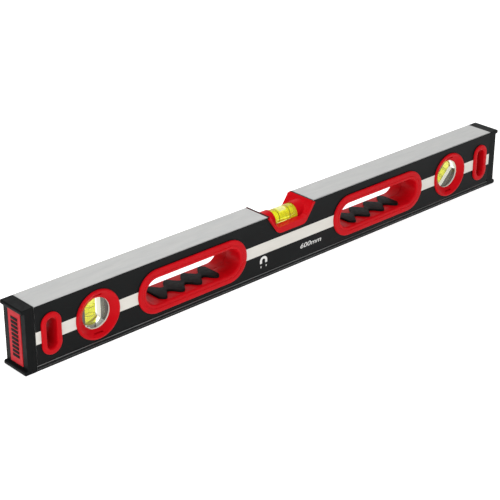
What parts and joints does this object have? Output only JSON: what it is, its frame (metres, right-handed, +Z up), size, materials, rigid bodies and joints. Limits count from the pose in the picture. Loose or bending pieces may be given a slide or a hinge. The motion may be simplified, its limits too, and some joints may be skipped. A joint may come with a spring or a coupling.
{
  "type": "spirit level",
  "caption": "Box-section spirit level with hand holes, a centre level vial, a plumb vial and a 45 degree vial, end caps and a magnetic base.",
  "frame": {"origin": "middle of the base, on the plane the level stands on", "axes": "+X along the level, front face towards -Y, +Z up"},
  "size_m": [0.6, 0.0336, 0.06],
  "materials": {
    "black_coat": "satin powder coat over an aluminium extrusion, milled bare on the top and base",
    "pale_film": "satin film",
    "black_plastic": "fine moulded texture",
    "insert_red": "satin",
    "red_plastic": "semi-gloss moulded",
    "grip_rubber": "matt soft grip",
    "clear_acrylic": "polished clear",
    "yellow_fluid": "clear liquid",
    "bubble_gas": "clear",
    "black_marks": "printed",
    "vial_plug": "gloss",
    "seat_grey": "satin moulded",
    "seat_white": "satin moulded",
    "magnet_nickel": "nickel plate"
  },
  "bodies": {
    "level": {"beam": "black_coat", "front_stripe": "pale_film", "rear_stripe": "pale_film", "left_end_cap": "black_plastic", "right_end_cap": "black_plastic", "left_cap_insert": "insert_red", "right_cap_insert": "insert_red", "left_handle_front": "red_plastic", "left_handle_rear": "red_plastic", "left_grip_pad": "grip_rubber", "right_handle_front": "red_plastic", "right_handle_rear": "red_plastic", "right_grip_pad": "grip_rubber", "left_slot_front": "red_plastic", "left_slot_rear": "red_plastic", "right_slot_front": "red_plastic", "right_slot_rear": "red_plastic", "plumb_front_ring": "red_plastic", "plumb_rear_ring": "red_plastic", "plumb_front_seat": "seat_grey", "plumb_rear_seat": "seat_white", "plumb_vial_body": "clear_acrylic", "plumb_fluid": "yellow_fluid", "plumb_lines": "black_marks", "plumb_plug": "vial_plug", "diagonal_front_ring": "red_plastic", "diagonal_rear_ring": "red_plastic", "diagonal_front_seat": "seat_grey", "diagonal_rear_seat": "seat_white", "diagonal_vial_body": "clear_acrylic", "diagonal_fluid": "yellow_fluid", "diagonal_lines": "black_marks", "diagonal_plug": "vial_plug", "centre_housing": "red_plastic", "centre_vial_body": "clear_acrylic", "centre_fluid": "yellow_fluid", "centre_lines": "black_marks", "centre_plug": "vial_plug", "base_magnets": "magnet_nickel"},
    "level_bubble": {"centre_bubble": "bubble_gas"},
    "upright_bubble": {"plumb_bubble": "bubble_gas"},
    "sloping_bubble": {"diagonal_bubble": "bubble_gas"}
  },
  "joints": [
    {"name": "centre_bubble_slide", "type": "slide", "parent": "level", "child": "level_bubble", "axis": [1, 0, 0], "range_m": [-0.012, 0.012], "stiffness_N_per_m": 0.5},
    {"name": "plumb_bubble_slide", "type": "slide", "parent": "level", "child": "upright_bubble", "axis": [0, 0, 1], "range_m": [-0.0162, 0], "stiffness_N_per_m": 0.5, "springref_m": 0.03},
    {"name": "diagonal_bubble_slide", "type": "slide", "parent": "level", "child": "sloping_bubble", "axis": [0.7071, 0, 0.7071], "range_m": [-0.0162, 0], "stiffness_N_per_m": 0.5, "springref_m": 0.03}
  ]
}
